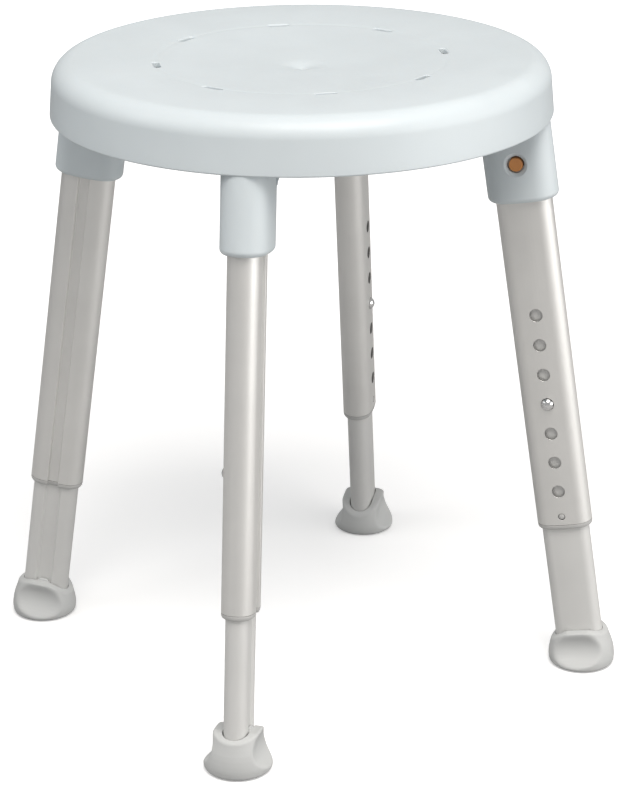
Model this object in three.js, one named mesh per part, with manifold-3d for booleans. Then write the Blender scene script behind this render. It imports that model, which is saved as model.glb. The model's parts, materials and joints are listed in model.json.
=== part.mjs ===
// Shower stool: a round moulded seat with four splayed legs. Each leg telescopes in 25 mm steps,
// and pulls out of its socket in the seat once the release button is pressed.
// Millimetres, +Z up, origin on the floor under the middle of the seat.

import * as THREE from "three";
import { mergeVertices } from "three/addons/utils/BufferGeometryUtils.js";
import Module from "manifold-3d";

const wasm = await Module();
wasm.setup();

// ---------- driving dimensions ----------

const GAP = 0.3; // clearance between neighbouring pieces

const seat = {
  height: 500, // top of the rim
  topRadius: 178, // where the top turns into the rim
  rimRadius: 17, // rounding between top and skirt
  skirtBottomRadius: 197,
  skirtBottom: 457.5,
  dish: 8.2, // how far the middle lies below the rim
  dishPower: 2.5, // the dish flattens out towards the rim
  skin: 4, // wall thickness
  flatRadius: 20, // the very middle is flat
  segments: 48,
};

// A shallow ring channel in the top, with the drain slots in it.
const drain = { radius: 113.4, width: 7, channelDepth: 0.4, channelFloor: 4, slots: 8, slotLength: 19 };

const rib = {
  count: 8,
  thickness: 3,
  depth: 8, // of the straight ribs, below the skin
  innerRing: { radius: 55, bottom: 477 },
  outerRing: { radius: 160, bottom: 455 }, // ties the four sockets together
};

const leg = {
  footRadius: 234.4, // leg axis to the middle of the stool, at the floor
  splay: Math.atan(0.1452),
};

// Both leg sections are flat-sided ovals with a groove along one flat.
const tube = { long: 22.25, short: 13.25, grooveWidth: 9.5, grooveDepth: 3, grooveSlope: 0.8 };
const inner = { long: 19.2, short: 9.8, grooveWidth: 14.4, grooveDepth: 2.4, grooveSlope: 0.8 };
const tubeWall = 1.5;
const innerWall = 1.8;

// Stations along a leg's axis, measured from the floor.
const station = {
  innerBottom: 8,
  collarTop: 31.5,
  bushBottom: 122.2,
  tubeBottom: 126.6,
  nub: 133.9, // snap nub that holds the guide bush
  bushTop: 148,
  heightButton: 231.1,
  innerTop: 318,
  socketBottom: 398.6,
  releaseButton: 430.2,
  tubeTop: 490.5,
  plugTop: 493,
};

const adjust = { holes: 7, pitch: 25, holeRadius: 5.25 };
const nub = { radius: 2.5, holeRadius: 2.9 };
const plug = { insert: 15, pocket: 12 }; // depth in the tube, and of the slot that holds the clip
const glide = { insert: 10, head: 6 };
const bush = { edgeInset: 2, edgeHeight: 3.2 }; // rounding of the collar under the tube
const spring = { thickness: 0.8, width: 10, buttonArm: 38, freeArm: 16, bendAbove: 31 };

const socket = {
  wall: 5.7,
  edge: 4.5, // rounding of the lower edge
  holeRadius: 6.8,
  chamferRadius: 8.8,
  chamferDepth: 2,
};

const heightButton = { radius: 4.8, proud: 3.5, flangeRadius: 6.2, flange: 1.4, dome: 1.3 };
const releaseButton = { radius: 5.4, recess: 1.15, clearance: 0.4, edge: 0.6 };
const leaf = { thickness: 1.2, width: 10, behindWall: 1.3, belowButton: 2 };

const foot = {
  baseRadius: 27,
  inset: 1.5, // the base sits this far inside the leg's axis
  collarLong: 23.5,
  collarShort: 14.8,
  collarBottom: 5,
  flank: 17.6, // half the width across the two pinched sides
  flankBottom: 12.5,
  dipStart: 9, // the collar's top edge dips from here to both narrow ends
  noseLength: 3, // flat part of the top edge at each narrow end
  innerNoseTop: 24.5,
  outerNoseTop: 27,
};

// The bell of a foot, from the sole up: [radius, height].
const bell = [[24.3, 0], [26.3, 1.8], [27, 7], [26.2, 14], [24, 20.5], [20.5, 26.5]];

// How far the pinched sides stand out towards the base: [half width, height].
const flankFlare = [[28, 4.2], [21.5, 8.2]];

// The thumb scoop on each pinched side, an ellipsoid that cuts into the flank.
const scoop = { height: 21, halfLength: 31, radius: 10, halfHeight: 11.8, depth: 2.9 };

const color = {
  seat: 0xc3cccf,
  alloy: 0xb4b3af,
  innerLeg: 0xb9b8b3,
  foot: 0xbdbfbd,
  clip: 0xb0713a,
  steel: 0xd0d0d0,
  plastic: 0xaeb2b3,
};

// ---------- materials ----------

function paint(hex, roughness, metalness) {
  return new THREE.MeshStandardMaterial({ color: hex, roughness, metalness });
}

const material = {
  seat: () => paint(color.seat, 0.45, 0),
  alloy: () => paint(color.alloy, 0.4, 0.9),
  innerLeg: () => paint(color.innerLeg, 0.55, 0.1),
  foot: () => paint(color.foot, 0.75, 0),
  clip: () => paint(color.clip, 0.4, 0),
  steel: () => paint(color.steel, 0.2, 1),
  plastic: () => paint(color.plastic, 0.5, 0),
};

// ---------- solids ----------

function solid(geometry) {
  const bare = geometry.index ? geometry.toNonIndexed() : geometry.clone();
  bare.deleteAttribute("normal");
  bare.deleteAttribute("uv");
  const merged = mergeVertices(bare, 1e-4);
  return new wasm.Manifold(
    new wasm.Mesh({
      numProp: 3,
      vertProperties: merged.attributes.position.array,
      triVerts: new Uint32Array(merged.index.array),
    }),
  );
}

function geometryOf(body) {
  const mesh = body.getMesh();
  const geometry = new THREE.BufferGeometry();
  geometry.setAttribute("position", new THREE.BufferAttribute(mesh.vertProperties, 3));
  geometry.setIndex(new THREE.BufferAttribute(mesh.triVerts, 1));
  geometry.computeVertexNormals();
  return geometry;
}

// A flat-sided oval with the groove in its +Y flat. A positive offset grows it all round.
function outline(section, offset = 0, Path = THREE.Shape) {
  const short = section.short + offset;
  const middle = section.long - section.short;
  const mouth = section.grooveWidth / 2 - offset;
  const floor = mouth - section.grooveSlope;
  const path = new Path();
  path.moveTo(-middle, -short);
  path.lineTo(middle, -short);
  path.absarc(middle, 0, short, -Math.PI / 2, Math.PI / 2);
  path.lineTo(mouth, short);
  path.lineTo(floor, short - section.grooveDepth);
  path.lineTo(-floor, short - section.grooveDepth);
  path.lineTo(-mouth, short);
  path.lineTo(-middle, short);
  path.absarc(-middle, 0, short, Math.PI / 2, (3 * Math.PI) / 2);
  return path;
}

function plainOval(long, short) {
  const middle = long - short;
  const path = new THREE.Shape();
  path.absarc(middle, 0, short, -Math.PI / 2, Math.PI / 2);
  path.absarc(-middle, 0, short, Math.PI / 2, (3 * Math.PI) / 2);
  path.closePath();
  return path;
}

function prism(shape, from, to) {
  const settings = { depth: to - from, bevelEnabled: false, curveSegments: 4 };
  return solid(new THREE.ExtrudeGeometry(shape, settings).translate(0, 0, from));
}

// A prism with its lower edge rounded off and its top left square.
function roundedPrism(shape, from, to, edgeInset, edgeHeight) {
  const geometry = new THREE.ExtrudeGeometry(shape, {
    depth: to - from, // past the top, and trimmed there
    bevelEnabled: true,
    bevelThickness: edgeHeight,
    bevelSize: edgeInset,
    bevelOffset: -edgeInset,
    bevelSegments: 2,
    curveSegments: 4,
  });
  return solid(geometry.translate(0, 0, from + edgeHeight)).trimByPlane([0, 0, -1], -to);
}

// A prism standing on the X-Z plane, with its middle on Y = 0.
function sidePrism(shape, width) {
  const geometry = new THREE.ExtrudeGeometry(shape, { depth: width, bevelEnabled: false });
  return solid(geometry.translate(0, 0, -width / 2).rotateX(Math.PI / 2));
}

// A turned piece whose axis is parallel to Y at the given station. Points are [radius, y], y rising.
function turned(points, at, segments) {
  const profile = points.map(([radius, y]) => new THREE.Vector2(radius, y));
  return solid(new THREE.LatheGeometry(profile, segments).translate(0, 0, at));
}

// A turned piece about the stool's own vertical axis. Points are [radius, z], anticlockwise.
function turnedUpright(points, segments) {
  const profile = points.map(([radius, z]) => new THREE.Vector2(radius, z));
  return solid(new THREE.LatheGeometry(profile, segments).rotateX(Math.PI / 2));
}

function crossHole(radius, at, fromY, toY) {
  return turned([[0, fromY], [radius, fromY], [radius, toY], [0, toY]], at, 12);
}

function arc(centre, radius, fromAngle, toAngle, steps) {
  const points = [];
  for (let i = 0; i <= steps; i++) {
    const angle = fromAngle + ((toAngle - fromAngle) * i) / steps;
    points.push([centre[0] + radius * Math.cos(angle), centre[1] + radius * Math.sin(angle)]);
  }
  return points;
}

// ---------- seat ----------

const rimCentre = [seat.topRadius, seat.height - seat.rimRadius];
const skirtTopRadius = seat.topRadius + seat.rimRadius;
const skirtEdge = 1.5; // rounding along the skirt's lower edge

// Height of the dished top at a radius, without the ring channel.
function dishAt(radius) {
  const share = Math.max(radius, seat.flatRadius) / seat.topRadius;
  return seat.height - seat.dish * Math.pow(1 - share * share, seat.dishPower);
}

function seatShell() {
  const halfWidth = drain.width / 2;
  const halfFloor = drain.channelFloor / 2;
  const outerBand = [150, drain.radius + halfWidth];
  const channel = [drain.radius + halfFloor, drain.radius - halfFloor];
  const middle = [drain.radius - halfWidth, 80, 50, seat.flatRadius, 0];
  const under = [0, 60, 110];
  const innerRadius = seat.skirtBottomRadius - seat.skin;
  const points = [
    ...under.map((r) => [r, dishAt(r) - seat.skin]),
    ...arc(rimCentre, seat.rimRadius - seat.skin, Math.PI / 2, 0, 2),
    [innerRadius, seat.skirtBottom + skirtEdge],
    [innerRadius + skirtEdge, seat.skirtBottom],
    [seat.skirtBottomRadius - skirtEdge, seat.skirtBottom],
    [seat.skirtBottomRadius, seat.skirtBottom + skirtEdge],
    ...arc(rimCentre, seat.rimRadius, 0, Math.PI / 2, 4),
    ...outerBand.map((r) => [r, dishAt(r)]),
    ...channel.map((r) => [r, dishAt(r) - drain.channelDepth]),
    ...middle.map((r) => [r, dishAt(r)]),
  ];
  return turnedUpright(points, seat.segments);
}

// Everything below the middle of the skin and inside the skirt, open-ended below the skirt.
function seatEnvelope() {
  const half = seat.skin / 2;
  const wide = leg.footRadius;
  const top = dishAt(0) - half;
  const points = [
    [0, 0],
    [wide, 0],
    [wide, seat.skirtBottom + skirtEdge],
    [seat.skirtBottomRadius - half, seat.skirtBottom + skirtEdge],
    ...arc(rimCentre, seat.rimRadius - half, 0, Math.PI / 2, 2),
    [drain.radius, dishAt(drain.radius) - half],
    [seat.flatRadius, top],
    [0, top],
  ];
  return turnedUpright(points, seat.segments);
}

function ringRib({ radius, bottom }) {
  const top = dishAt(radius) - seat.skin / 2;
  const half = rib.thickness / 2;
  const points = [
    [radius - half, bottom],
    [radius + half, bottom],
    [radius + half, top],
    [radius - half, top],
    [radius - half, bottom],
  ];
  return turnedUpright(points, seat.segments);
}

function radialRib(angle) {
  const start = rib.innerRing.radius;
  const length = skirtTopRadius - seat.skin / 2 - start;
  const top = dishAt(start) - seat.skin / 2;
  const bottom = top - seat.skin / 2 - rib.depth;
  const geometry = new THREE.BoxGeometry(length, rib.thickness, top - bottom);
  geometry.translate(start + length / 2, 0, (top + bottom) / 2);
  return solid(geometry.rotateZ(angle));
}

function drainSlot(angle) {
  const shape = plainOval(drain.slotLength / 2, drain.width / 2);
  const depth = 2 * seat.rimRadius; // well through the skin
  const geometry = new THREE.ExtrudeGeometry(shape, { depth, bevelEnabled: false, curveSegments: 3 });
  geometry.rotateZ(Math.PI / 2);
  geometry.translate(drain.radius, 0, seat.height - depth / 2);
  return solid(geometry.rotateZ(angle));
}

// The oval boss that takes a leg, in the leg's own frame, with a rounded lower edge.
function socketBoss() {
  const shape = plainOval(tube.long + socket.wall, tube.short + socket.wall);
  const pastTop = seat.height + seat.rimRadius; // trimmed later, by the seat's envelope
  return geometryOf(roundedPrism(shape, station.socketBottom, pastTop, socket.edge, socket.edge));
}

// What is cut out of a boss: the space for the tube, and the opening over the release button.
function socketCut() {
  const cavity = prism(outline(tube, GAP), station.socketBottom - 5, station.plugTop + GAP);
  const face = -(tube.short + socket.wall);
  const opening = turned(
    [
      [0, face - 1],
      [socket.chamferRadius, face - 1],
      [socket.chamferRadius, face],
      [socket.holeRadius, face + socket.chamferDepth],
      [socket.holeRadius, -tube.short + 2],
      [0, -tube.short + 2],
    ],
    station.releaseButton,
    16,
  );
  return geometryOf(cavity.add(opening));
}

function makeSeat(legMatrices) {
  const envelope = seatEnvelope();
  const bossGeometry = socketBoss();
  const cutGeometry = socketCut();
  let body = seatShell().add(ringRib(rib.innerRing)).add(ringRib(rib.outerRing));
  for (let i = 0; i < rib.count; i++) {
    body = body.add(radialRib((i * 2 * Math.PI) / rib.count));
  }
  for (const matrix of legMatrices) {
    body = body.add(solid(bossGeometry.clone().applyMatrix4(matrix)).intersect(envelope));
  }
  for (const matrix of legMatrices) {
    body = body.subtract(solid(cutGeometry.clone().applyMatrix4(matrix)));
  }
  for (let i = 0; i < drain.slots; i++) {
    body = body.subtract(drainSlot(((i + 0.5) * 2 * Math.PI) / drain.slots));
  }
  return geometryOf(body);
}

// ---------- pieces of one leg, in the leg's own frame ----------
// Z runs up the leg from the floor, X points away from the stool's middle, holes face -Y.

function makeTube() {
  const shape = outline(tube);
  shape.holes.push(outline(tube, -tubeWall, THREE.Path));
  let body = prism(shape, station.tubeBottom, station.tubeTop);
  const outside = -tube.short - 1;
  const inside = -tube.short + tubeWall + 1;
  for (let i = 0; i < adjust.holes; i++) {
    const steps = i - (adjust.holes - 1) / 2;
    const at = station.heightButton + steps * adjust.pitch;
    body = body.subtract(crossHole(adjust.holeRadius, at, outside, inside));
  }
  const latchRadius = releaseButton.radius + releaseButton.clearance;
  body = body.subtract(crossHole(nub.holeRadius, station.nub, outside, inside));
  body = body.subtract(crossHole(latchRadius, station.releaseButton, outside, inside));
  return geometryOf(body);
}

const leafFront = -tube.short + tubeWall + leaf.behindWall;
const insertBottom = station.tubeTop - plug.insert;

function makeTubePlug() {
  const insert = prism(outline(tube, -tubeWall - GAP), insertBottom, station.plugTop);
  const lip = prism(outline(tube), station.tubeTop + GAP, station.plugTop);
  const slot = new THREE.BoxGeometry(leaf.width + 2 * GAP, leaf.thickness + 2 * GAP, 2 * plug.pocket);
  slot.translate(0, leafFront + leaf.thickness / 2, insertBottom);
  return geometryOf(insert.add(lip).subtract(solid(slot)));
}

// One springy moulding: a leaf held in the plug, with the release button at its lower end.
function makeReleaseClip() {
  const { radius, edge } = releaseButton;
  const bottom = station.releaseButton - radius - leaf.belowButton;
  const top = insertBottom + plug.pocket - GAP;
  const back = leafFront + leaf.thickness;
  const strip = new THREE.BoxGeometry(leaf.width, leaf.thickness, top - bottom);
  strip.translate(0, (leafFront + back) / 2, (top + bottom) / 2);
  const tip = -(tube.short + socket.wall) + releaseButton.recess;
  const button = turned(
    [[0, tip], [radius - edge, tip], [radius, tip + edge], [radius, back], [0, back]],
    station.releaseButton,
    20,
  );
  return geometryOf(solid(strip).add(button));
}

function makeGuideBush() {
  const { bushBottom, bushTop, tubeBottom } = station;
  const collar = roundedPrism(outline(tube), bushBottom, tubeBottom - GAP, bush.edgeInset, bush.edgeHeight);
  const sleeve = prism(outline(tube, -tubeWall - GAP), tubeBottom - 1, bushTop);
  const pocket = prism(outline(inner, GAP), bushBottom - 1, bushTop + 1);
  const insideFace = -inner.short - 2 * GAP;
  const snap = crossHole(nub.radius, station.nub, -tube.short, insideFace);
  return geometryOf(collar.add(sleeve).subtract(pocket).add(snap));
}

function makeInnerLeg() {
  const shape = outline(inner);
  shape.holes.push(outline(inner, -innerWall, THREE.Path));
  const hole = crossHole(
    heightButton.radius + GAP,
    station.heightButton,
    -inner.short - 1,
    -inner.short + innerWall + 1,
  );
  return geometryOf(prism(shape, station.innerBottom, station.innerTop).subtract(hole));
}

// Slider on top of the inner leg that keeps it centred in the tube.
function makeGlide() {
  const top = station.innerTop + glide.head;
  const insert = prism(outline(inner, -innerWall - GAP), station.innerTop - glide.insert, top);
  const head = prism(outline(tube, -tubeWall - GAP), station.innerTop + GAP, top);
  return geometryOf(insert.add(head));
}

// A bent strip: one arm carries the button, the other bears on the opposite wall.
function makeButtonSpring() {
  const { thickness, width } = spring;
  const front = -inner.short + innerWall + GAP + heightButton.flange + GAP;
  const back = inner.short - inner.grooveDepth - innerWall - GAP;
  const centre = (front + back) / 2;
  const radius = (back - front) / 2;
  const bend = station.heightButton + spring.bendAbove;
  const path = new THREE.Shape();
  path.moveTo(front, bend - spring.buttonArm);
  path.lineTo(front + thickness, bend - spring.buttonArm);
  path.lineTo(front + thickness, bend);
  path.absarc(centre, bend, radius - thickness, Math.PI, 0, true);
  path.lineTo(back - thickness, bend - spring.freeArm);
  path.lineTo(back, bend - spring.freeArm);
  path.lineTo(back, bend);
  path.absarc(centre, bend, radius, 0, Math.PI, false);
  path.closePath();
  const geometry = new THREE.ExtrudeGeometry(path, { depth: width, bevelEnabled: false, curveSegments: 3 });
  geometry.translate(0, 0, -width / 2).rotateY(Math.PI / 2).rotateX(Math.PI / 2);
  return geometryOf(solid(geometry));
}

function makeHeightButton() {
  const tip = -tube.short - heightButton.proud;
  const shoulder = -inner.short + innerWall + GAP;
  const back = shoulder + heightButton.flange;
  const { radius, flangeRadius, dome } = heightButton;
  return geometryOf(
    turned(
      [
        [0, tip],
        [radius * 0.45, tip + dome * 0.15],
        [radius * 0.8, tip + dome * 0.5],
        [radius, tip + dome + 0.4],
        [radius, shoulder],
        [flangeRadius, shoulder],
        [flangeRadius, back],
        [0, back],
      ],
      station.heightButton,
      20,
    ),
  );
}

// Side view of what is cut away above the collar, which dips at both narrow ends.
function collarDip() {
  const end = foot.collarLong + 1;
  const above = station.collarTop + 1;
  const points = [
    [end, above],
    [end, foot.outerNoseTop],
    [foot.collarLong - foot.noseLength, foot.outerNoseTop],
    [foot.dipStart, station.collarTop],
    [-foot.dipStart, station.collarTop],
    [foot.noseLength - foot.collarLong, foot.innerNoseTop],
    [-end, foot.innerNoseTop],
    [-end, above],
  ];
  return new THREE.Shape(points.map(([x, z]) => new THREE.Vector2(x, z)));
}

// End view of the pinched sides, which flare out to the base.
function flankShape() {
  const wide = flankFlare[0][0];
  const side = [
    [wide, -wide],
    ...flankFlare,
    [foot.flank, foot.flankBottom],
    [foot.flank, station.collarTop + 1],
  ];
  const mirrored = side.map(([y, z]) => [-y, z]).reverse();
  return new THREE.Shape([...side, ...mirrored].map(([y, z]) => new THREE.Vector2(y, z)));
}

function thumbScoop(side) {
  const geometry = new THREE.SphereGeometry(1, 20, 14);
  geometry.scale(scoop.halfLength, scoop.radius, scoop.halfHeight);
  return solid(geometry.translate(0, side * (foot.flank + scoop.radius - scoop.depth), scoop.height));
}

// The base stands square on the floor, while the collar follows the leaning leg.
function makeFoot() {
  const top = bell[bell.length - 1][1];
  const profile = [[0, 0], ...bell, [0, top]].map(([x, y]) => new THREE.Vector2(x, y));
  const base = new THREE.LatheGeometry(profile, 24);
  base.rotateX(Math.PI / 2).translate(-foot.inset, 0, 0).rotateY(leg.splay);
  const flanks = sidePrism(flankShape(), 3 * foot.baseRadius).rotate([0, 0, 90]);
  const collar = prism(plainOval(foot.collarLong, foot.collarShort), foot.collarBottom, station.collarTop);
  const pocket = prism(outline(inner, GAP), station.innerBottom - GAP, station.collarTop + 1);
  const dip = sidePrism(collarDip(), 3 * foot.collarShort);
  const body = solid(base).intersect(flanks).add(collar).subtract(dip).subtract(pocket);
  return geometryOf(body.subtract(thumbScoop(1)).subtract(thumbScoop(-1)));
}

// ---------- assembly ----------

const stool = new THREE.Group();
stool.name = "shower_stool";

function addPiece(parent, name, geometry, paintOf) {
  const mesh = new THREE.Mesh(geometry, paintOf());
  mesh.name = name;
  parent.add(mesh);
}

const corners = [
  { name: "front_left", angle: (-3 * Math.PI) / 4 },
  { name: "front_right", angle: -Math.PI / 4 },
  { name: "back_right", angle: Math.PI / 4 },
  { name: "back_left", angle: (3 * Math.PI) / 4 },
];

const legPieces = [
  { name: "leg_tube", make: makeTube, paint: material.alloy },
  { name: "tube_plug", make: makeTubePlug, paint: material.plastic },
  { name: "release_clip", make: makeReleaseClip, paint: material.clip },
  { name: "guide_bush", make: makeGuideBush, paint: material.plastic },
  { name: "inner_leg", make: makeInnerLeg, paint: material.innerLeg },
  { name: "leg_glide", make: makeGlide, paint: material.plastic },
  { name: "button_spring", make: makeButtonSpring, paint: material.steel },
  { name: "height_button", make: makeHeightButton, paint: material.steel },
  { name: "foot", make: makeFoot, paint: material.foot },
].map((piece) => ({ ...piece, geometry: piece.make() }));

const legMatrices = [];
for (const corner of corners) {
  const group = new THREE.Group();
  group.name = corner.name + "_leg";
  group.position.set(
    leg.footRadius * Math.cos(corner.angle),
    leg.footRadius * Math.sin(corner.angle),
    0,
  );
  group.rotation.set(0, -leg.splay, corner.angle, "ZYX");
  for (const piece of legPieces) {
    addPiece(group, corner.name + "_" + piece.name, piece.geometry, piece.paint);
  }
  group.updateMatrix();
  legMatrices.push(group.matrix.clone());
  stool.add(group);
}

addPiece(stool, "seat", makeSeat(legMatrices), material.seat);

export default stool;
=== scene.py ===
import json
import math

import bmesh
import bpy
import numpy as np
from mathutils import Matrix, Vector


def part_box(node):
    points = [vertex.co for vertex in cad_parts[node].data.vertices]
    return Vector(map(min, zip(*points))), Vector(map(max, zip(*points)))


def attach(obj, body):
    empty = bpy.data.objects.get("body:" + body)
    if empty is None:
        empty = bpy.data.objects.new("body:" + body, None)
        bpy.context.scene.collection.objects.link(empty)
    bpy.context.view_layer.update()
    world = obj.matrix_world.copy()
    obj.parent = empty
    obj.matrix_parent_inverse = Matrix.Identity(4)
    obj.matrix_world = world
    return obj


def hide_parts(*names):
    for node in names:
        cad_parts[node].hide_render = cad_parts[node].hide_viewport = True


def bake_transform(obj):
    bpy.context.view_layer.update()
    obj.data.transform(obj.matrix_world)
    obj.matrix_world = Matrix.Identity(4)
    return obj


# Shower stool: a dished seat moulding on four splayed legs that telescope in 25 mm steps.
# Every piece is built here at full detail, in the place that the CAD nodes give, and rides on their bodies.
# Lengths are millimetres in the leg's own frame unless a name says otherwise.

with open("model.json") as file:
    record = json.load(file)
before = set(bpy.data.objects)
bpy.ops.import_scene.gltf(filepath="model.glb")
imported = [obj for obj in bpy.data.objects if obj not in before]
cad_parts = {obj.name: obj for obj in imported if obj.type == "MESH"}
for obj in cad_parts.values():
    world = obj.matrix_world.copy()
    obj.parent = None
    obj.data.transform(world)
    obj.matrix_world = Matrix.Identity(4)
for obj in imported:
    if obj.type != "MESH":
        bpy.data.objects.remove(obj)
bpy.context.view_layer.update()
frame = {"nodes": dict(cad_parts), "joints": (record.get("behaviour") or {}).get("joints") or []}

MM = 0.001
CORNERS = ("front_left", "front_right", "back_right", "back_left")
MODEL = CORNERS[0]  # the four legs are alike, so this one gives the sizes
joints = {joint["name"]: joint for joint in frame["joints"]}


# ---------- the legs' frames and sizes, from the CAD ----------

def vertices(node):
    return np.array([v.co for v in frame["nodes"][node].data.vertices])


def leg_frame(corner):
    """Matrix of the leg's own frame: Z up the leg, X away from the stool's middle, origin on the floor."""
    down = Vector(joints[corner + "_height"]["axis"]).normalized()
    up = -down
    across = Vector((0, 0, 1)).cross(down).normalized()
    outward = across.cross(up)
    turn = Matrix((outward, across, up)).transposed()
    local = vertices(corner + "_leg_tube") @ np.array(turn)
    middle = (local.min(0) + local.max(0)) / 2
    on_axis = turn @ Vector((middle[0], middle[1], 0))
    origin = on_axis - up * (on_axis.z / up.z)
    return Matrix.Translation(origin) @ turn.to_4x4()


LEG = {corner: leg_frame(corner) for corner in CORNERS}
SPLAY = math.acos(LEG[MODEL].col[2].z)
FOOT_CIRCLE = LEG[MODEL].translation.length / MM  # from the stool's middle to a leg's axis, at the floor


def extent(piece):
    """Lowest and highest corner of a CAD piece in the leg's frame, in millimetres."""
    inverse = np.array(LEG[MODEL].inverted())
    points = vertices(f"{MODEL}_{piece}") @ inverse[:3, :3].T + inverse[:3, 3]
    return Vector(points.min(0) / MM), Vector(points.max(0) / MM)


tube_low, tube_high = extent("leg_tube")
bush_low, bush_high = extent("guide_bush")
inner_low, inner_high = extent("inner_leg")
glide_low, glide_high = extent("leg_glide")
plug_low, plug_high = extent("tube_plug")
clip_low = extent("release_clip")[0]
spring_low, spring_high = extent("button_spring")
button_low, button_high = extent("height_button")
foot_low, foot_high = extent("foot")
seat_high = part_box("seat")[1] / MM

GAP = 0.3  # between pieces that move or fit in each other


class Section:
    """A flat-sided oval with a groove along its +Y flat, and fillets at the groove's lips and root."""

    def __init__(self, low, high, groove_width, groove_depth, groove_slope, lip, root):
        self.long = (high.x - low.x) / 2
        self.short = (high.y - low.y) / 2
        self.groove_width = groove_width
        self.groove_depth = groove_depth
        self.groove_slope = groove_slope
        self.lip = lip
        self.root = root


TUBE = Section(tube_low, tube_high, groove_width=9.5, groove_depth=3, groove_slope=1, lip=0.6, root=0.8)
INNER = Section(
    inner_low, inner_high, groove_width=14.4, groove_depth=2.4, groove_slope=1.7, lip=1.2, root=1.6
)
TUBE_WALL = 1.5
INNER_WALL = 1.8

# ---------- meshes ----------

ARC_STEPS = 20  # along each rounded end of an oval
FLAT_STEPS = 8  # across each flat
FILLET_STEPS = 4
TINY = 2e-6  # metres: vertices that are closer than this are merged
CROWN = 8  # degrees that a flat's edges lean away from its middle, as it bulges slightly


def fillet(before, corner, after, radius, steps=FILLET_STEPS):
    """Points of the arc that rounds a corner between two straight edges."""
    corner = Vector(corner)
    u = (Vector(before) - corner).normalized()
    v = (Vector(after) - corner).normalized()
    half = u.angle(v) / 2
    centre = corner + (u + v).normalized() * (radius / math.sin(half))
    start = corner + u * (radius / math.tan(half)) - centre
    end = corner + v * (radius / math.tan(half)) - centre
    turn = start.angle_signed(end)
    points = []
    for step in range(steps + 1):
        angle = -turn * step / steps
        x = start.x * math.cos(angle) - start.y * math.sin(angle)
        y = start.x * math.sin(angle) + start.y * math.cos(angle)
        points.append((centre.x + x, centre.y + y))
    return points


def arc(centre, radius, start, end, steps):
    """Points of an arc, with its angles in degrees."""
    angles = [math.radians(start + (end - start) * step / steps) for step in range(steps + 1)]
    return [(centre[0] + radius * math.cos(a), centre[1] + radius * math.sin(a)) for a in angles]


def crowned(long, short):
    """Centre and radius of an oval's rounded ends, and the radius of its slightly bulging flats."""
    lean = math.radians(CROWN)
    reach = (long - short) / (math.sin(lean) + math.cos(lean) - 1)
    end = short - reach * (1 - math.cos(lean))
    return reach * math.sin(lean), end, reach + end


def outline(section, grow=0.0):
    """The section's outline, anticlockwise, grown all round. Every outline has the same number of points."""
    middle, end, flat = crowned(section.long, section.short)
    end, flat = end + grow, flat + grow
    short = section.short + grow
    edge = 90 - CROWN
    mouth = section.groove_width / 2 - grow
    floor = mouth - section.groove_slope
    bottom = short - section.groove_depth
    mouth_height = short - flat + math.sqrt(flat ** 2 - mouth ** 2)
    lip, root = section.lip, section.root
    before_lip = math.degrees(math.acos((mouth + 1.5 * lip) / flat))
    bulge = arc((0, short - flat), flat, edge, before_lip, 3)[1:]
    mirrored = [(-x, y) for x, y in reversed(bulge)]
    path = [bulge[-1], (mouth, mouth_height), (floor, bottom)]
    path += [(-floor, bottom), (-mouth, mouth_height), mirrored[0]]
    points = arc((middle, 0), end, -edge, edge, ARC_STEPS) + bulge
    for i, radius in enumerate((lip, root, root, lip), start=1):
        points += fillet(path[i - 1], path[i], path[i + 1], radius)
    points += mirrored + arc((-middle, 0), end, 180 - edge, 180 + edge, ARC_STEPS)
    return points + arc((0, flat - short), flat, 180 + edge, 360 - edge, FLAT_STEPS)[1:-1]


def crowned_oval(long, short, steps):
    """An oval with slightly bulging flats."""
    middle, end, flat = crowned(long, short)
    edge = 90 - CROWN
    points = arc((middle, 0), end, -edge, edge, steps)
    points += arc((0, short - flat), flat, edge, 180 - edge, FLAT_STEPS)[1:-1]
    points += arc((-middle, 0), end, 180 - edge, 180 + edge, steps)
    return points + arc((0, flat - short), flat, 180 + edge, 360 - edge, FLAT_STEPS)[1:-1]


def oval(long, short, steps=ARC_STEPS):
    middle = long - short
    return arc((middle, 0), short, -90, 90, steps) + arc((-middle, 0), short, 90, 270, steps)


def at_height(points, z):
    return [(x, y, z) for x, y in points]


def faces_between(count, rings, closed):
    faces = []
    for ring in range(rings if closed else rings - 1):
        above = (ring + 1) % rings
        for i in range(count):
            j = (i + 1) % count
            faces.append((ring * count + i, ring * count + j, above * count + j, above * count + i))
    return faces


def make_object(name, points, faces, matrix=None):
    """A mesh object from points in millimetres, with its faces turned outward."""
    mesh = bpy.data.meshes.new(name)
    mesh.from_pydata([Vector(p) * MM for p in points], [], faces)
    work = bmesh.new()
    work.from_mesh(mesh)
    bmesh.ops.remove_doubles(work, verts=work.verts, dist=1e-7)
    bmesh.ops.recalc_face_normals(work, faces=work.faces)
    work.to_mesh(mesh)
    work.free()
    obj = bpy.data.objects.new(name, mesh)
    bpy.context.scene.collection.objects.link(obj)
    if matrix is not None:
        obj.matrix_world = matrix
    return obj


def loft(name, rings, matrix=None, loop=False):
    """A solid through rings of equally many points, capped at both ends, or closed on itself by a loop."""
    count = len(rings[0])
    faces = faces_between(count, len(rings), loop)
    if not loop:
        last = (len(rings) - 1) * count
        faces.append(tuple(reversed(range(count))))
        faces.append(tuple(range(last, last + count)))
    return make_object(name, [p for ring in rings for p in ring], faces, matrix)


def turned(name, profile, station, segments=40, matrix=None):
    """A solid turned about an axis along Y at a station of the leg. The profile holds (radius, y)."""
    rings = []
    for radius, y in profile:
        rings.append([(x, y, station + z) for x, z in arc((0, 0), radius, 0, 360, segments)[:-1]])
    return loft(name, rings, matrix)


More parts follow.
